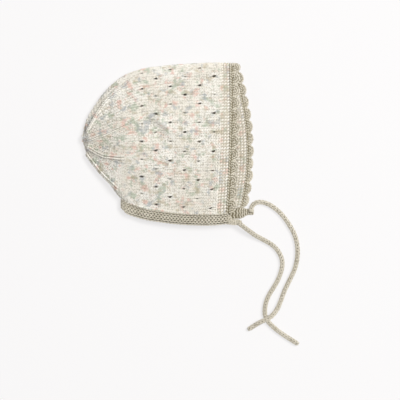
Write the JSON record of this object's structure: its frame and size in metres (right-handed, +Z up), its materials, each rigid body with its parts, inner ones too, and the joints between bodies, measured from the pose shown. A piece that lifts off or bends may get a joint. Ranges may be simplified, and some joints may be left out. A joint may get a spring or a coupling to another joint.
{
  "type": "baby bonnet",
  "caption": "Hand-knitted baby bonnet lying on its side, with lace eyelets, a ridged face band, a scalloped crochet edge, a knitted neck band and two cord ties.",
  "frame": {"origin": "on the table, under the middle of the bonnet without its ties", "axes": "+X out of the face opening, +Y to the top of the head, +Z up from the table, as the bonnet lies on its side"},
  "size_m": [0.1851, 0.2425, 0.0287],
  "materials": {
    "ivory_wool": "matte hand-knitted wool, cream with small pink, sage and grey-blue speckles",
    "greige_wool": "matte hand-knitted and crocheted wool, plain greige"
  },
  "bodies": {
    "root": {"lace_body": "ivory_wool", "crown": "ivory_wool", "face_band": "ivory_wool", "scallop_edge": "greige_wool", "neck_band": "greige_wool", "tie_near": "greige_wool", "tie_far": "greige_wool"}
  },
  "joints": []
}
